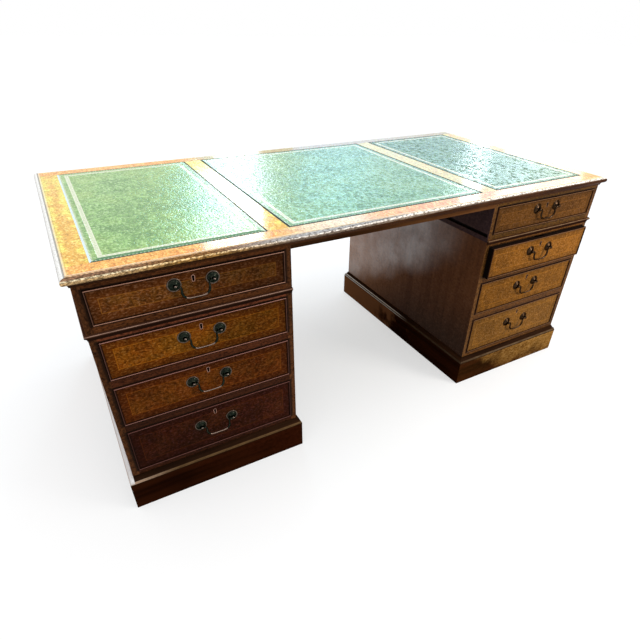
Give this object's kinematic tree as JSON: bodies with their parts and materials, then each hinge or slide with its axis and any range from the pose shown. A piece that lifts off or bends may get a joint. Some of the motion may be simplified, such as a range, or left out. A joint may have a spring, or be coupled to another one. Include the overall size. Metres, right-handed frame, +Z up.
{
  "type": "pedestal desk",
  "caption": "Antique twin-pedestal writing desk with a leather-lined top, burr-veneered drawers on runners, swan-neck bail handles, locks, moulded edges and plinths.",
  "frame": {"origin": "on the floor, below the middle of the top", "axes": "+X along the desk's length to the sitter's right-hand pedestal as seen from the drawers, +Y from the drawer side to the back, +Z up"},
  "size_m": [1.83, 0.9315, 0.762],
  "materials": {
    "top_veneer": "worn french polish",
    "edge_timber": "worn french polish, cross-grained",
    "mahogany": "dark french polish",
    "burr_veneer": "polished burr veneer with crossbanding",
    "pine_framing": "polished on the show face, bare within",
    "drawer_lining": "waxed oak",
    "green_leather": "gilt-tooled hide, glossy",
    "aged_brass": "dark patina, bright on the high spots"
  },
  "bodies": {
    "desk": {"top_board": "top_veneer", "top_edge_moulding": "edge_timber", "kneehole_rail": "mahogany", "leather_left": "green_leather", "leather_centre": "green_leather", "leather_right": "green_leather", "left_frieze_case": "mahogany", "left_waist_moulding": "mahogany", "left_pedestal_sides": "mahogany", "left_pedestal_back": "mahogany", "left_pedestal_framing": "pine_framing", "left_base_moulding": "mahogany", "left_plinth": "mahogany", "right_frieze_case": "mahogany", "right_waist_moulding": "mahogany", "right_pedestal_sides": "mahogany", "right_pedestal_back": "mahogany", "right_pedestal_framing": "pine_framing", "right_base_moulding": "mahogany", "right_plinth": "mahogany"},
    "left_top_drawer": {"left_top_drawer_front": "burr_veneer", "left_top_drawer_box": "drawer_lining", "left_top_fittings": "aged_brass"},
    "left_top_handle": {"left_top_bail": "aged_brass"},
    "left_top_bolt": {"left_top_lock_bolt": "aged_brass"},
    "left_upper_drawer": {"left_upper_drawer_front": "burr_veneer", "left_upper_drawer_box": "drawer_lining", "left_upper_fittings": "aged_brass"},
    "left_upper_handle": {"left_upper_bail": "aged_brass"},
    "left_upper_bolt": {"left_upper_lock_bolt": "aged_brass"},
    "left_middle_drawer": {"left_middle_drawer_front": "burr_veneer", "left_middle_drawer_box": "drawer_lining", "left_middle_fittings": "aged_brass"},
    "left_middle_handle": {"left_middle_bail": "aged_brass"},
    "left_middle_bolt": {"left_middle_lock_bolt": "aged_brass"},
    "left_lower_drawer": {"left_lower_drawer_front": "burr_veneer", "left_lower_drawer_box": "drawer_lining", "left_lower_fittings": "aged_brass"},
    "left_lower_handle": {"left_lower_bail": "aged_brass"},
    "left_lower_bolt": {"left_lower_lock_bolt": "aged_brass"},
    "right_top_drawer": {"right_top_drawer_front": "burr_veneer", "right_top_drawer_box": "drawer_lining", "right_top_fittings": "aged_brass"},
    "right_top_handle": {"right_top_bail": "aged_brass"},
    "right_top_bolt": {"right_top_lock_bolt": "aged_brass"},
    "right_upper_drawer": {"right_upper_drawer_front": "burr_veneer", "right_upper_drawer_box": "drawer_lining", "right_upper_fittings": "aged_brass"},
    "right_upper_handle": {"right_upper_bail": "aged_brass"},
    "right_upper_bolt": {"right_upper_lock_bolt": "aged_brass"},
    "right_middle_drawer": {"right_middle_drawer_front": "burr_veneer", "right_middle_drawer_box": "drawer_lining", "right_middle_fittings": "aged_brass"},
    "right_middle_handle": {"right_middle_bail": "aged_brass"},
    "right_middle_bolt": {"right_middle_lock_bolt": "aged_brass"},
    "right_lower_drawer": {"right_lower_drawer_front": "burr_veneer", "right_lower_drawer_box": "drawer_lining", "right_lower_fittings": "aged_brass"},
    "right_lower_handle": {"right_lower_bail": "aged_brass"},
    "right_lower_bolt": {"right_lower_lock_bolt": "aged_brass"}
  },
  "joints": [
    {"name": "left_top_drawer_slide", "type": "slide", "parent": "desk", "child": "left_top_drawer", "axis": [0, -1, 0], "range_m": [0, 0.4]},
    {"name": "left_top_handle_hinge", "type": "hinge", "parent": "left_top_drawer", "child": "left_top_handle", "pos_m": [-0.634, -0.452, 0.689], "axis": [-1, 0, 0], "range_deg": [-8, 95]},
    {"name": "left_top_bolt_slide", "type": "slide", "parent": "left_top_drawer", "child": "left_top_bolt", "axis": [0, 0, 1], "range_m": [0, 0.008]},
    {"name": "left_upper_drawer_slide", "type": "slide", "parent": "desk", "child": "left_upper_drawer", "axis": [0, -1, 0], "range_m": [0, 0.4]},
    {"name": "left_upper_handle_hinge", "type": "hinge", "parent": "left_upper_drawer", "child": "left_upper_handle", "pos_m": [-0.634, -0.452, 0.5395], "axis": [-1, 0, 0], "range_deg": [-8, 95]},
    {"name": "left_upper_bolt_slide", "type": "slide", "parent": "left_upper_drawer", "child": "left_upper_bolt", "axis": [0, 0, 1], "range_m": [0, 0.008]},
    {"name": "left_middle_drawer_slide", "type": "slide", "parent": "desk", "child": "left_middle_drawer", "axis": [0, -1, 0], "range_m": [0, 0.4]},
    {"name": "left_middle_handle_hinge", "type": "hinge", "parent": "left_middle_drawer", "child": "left_middle_handle", "pos_m": [-0.634, -0.452, 0.391], "axis": [-1, 0, 0], "range_deg": [-8, 95]},
    {"name": "left_middle_bolt_slide", "type": "slide", "parent": "left_middle_drawer", "child": "left_middle_bolt", "axis": [0, 0, 1], "range_m": [0, 0.008]},
    {"name": "left_lower_drawer_slide", "type": "slide", "parent": "desk", "child": "left_lower_drawer", "axis": [0, -1, 0], "range_m": [0, 0.4]},
    {"name": "left_lower_handle_hinge", "type": "hinge", "parent": "left_lower_drawer", "child": "left_lower_handle", "pos_m": [-0.634, -0.452, 0.225], "axis": [-1, 0, 0], "range_deg": [-8, 95]},
    {"name": "left_lower_bolt_slide", "type": "slide", "parent": "left_lower_drawer", "child": "left_lower_bolt", "axis": [0, 0, 1], "range_m": [0, 0.008]},
    {"name": "right_top_drawer_slide", "type": "slide", "parent": "desk", "child": "right_top_drawer", "axis": [0, -1, 0], "range_m": [0, 0.4]},
    {"name": "right_top_handle_hinge", "type": "hinge", "parent": "right_top_drawer", "child": "right_top_handle", "pos_m": [0.634, -0.452, 0.689], "axis": [-1, 0, 0], "range_deg": [-8, 95]},
    {"name": "right_top_bolt_slide", "type": "slide", "parent": "right_top_drawer", "child": "right_top_bolt", "axis": [0, 0, 1], "range_m": [0, 0.008]},
    {"name": "right_upper_drawer_slide", "type": "slide", "parent": "desk", "child": "right_upper_drawer", "axis": [0, -1, 0], "range_m": [-0.018, 0.382]},
    {"name": "right_upper_handle_hinge", "type": "hinge", "parent": "right_upper_drawer", "child": "right_upper_handle", "pos_m": [0.634, -0.47, 0.5395], "axis": [-1, 0, 0], "range_deg": [-8, 95]},
    {"name": "right_upper_bolt_slide", "type": "slide", "parent": "right_upper_drawer", "child": "right_upper_bolt", "axis": [0, 0, 1], "range_m": [0, 0.008]},
    {"name": "right_middle_drawer_slide", "type": "slide", "parent": "desk", "child": "right_middle_drawer", "axis": [0, -1, 0], "range_m": [0, 0.4]},
    {"name": "right_middle_handle_hinge", "type": "hinge", "parent": "right_middle_drawer", "child": "right_middle_handle", "pos_m": [0.634, -0.452, 0.391], "axis": [-1, 0, 0], "range_deg": [-8, 95]},
    {"name": "right_middle_bolt_slide", "type": "slide", "parent": "right_middle_drawer", "child": "right_middle_bolt", "axis": [0, 0, 1], "range_m": [0, 0.008]},
    {"name": "right_lower_drawer_slide", "type": "slide", "parent": "desk", "child": "right_lower_drawer", "axis": [0, -1, 0], "range_m": [0, 0.4]},
    {"name": "right_lower_handle_hinge", "type": "hinge", "parent": "right_lower_drawer", "child": "right_lower_handle", "pos_m": [0.634, -0.452, 0.225], "axis": [-1, 0, 0], "range_deg": [-8, 95]},
    {"name": "right_lower_bolt_slide", "type": "slide", "parent": "right_lower_drawer", "child": "right_lower_bolt", "axis": [0, 0, 1], "range_m": [0, 0.008]}
  ]
}
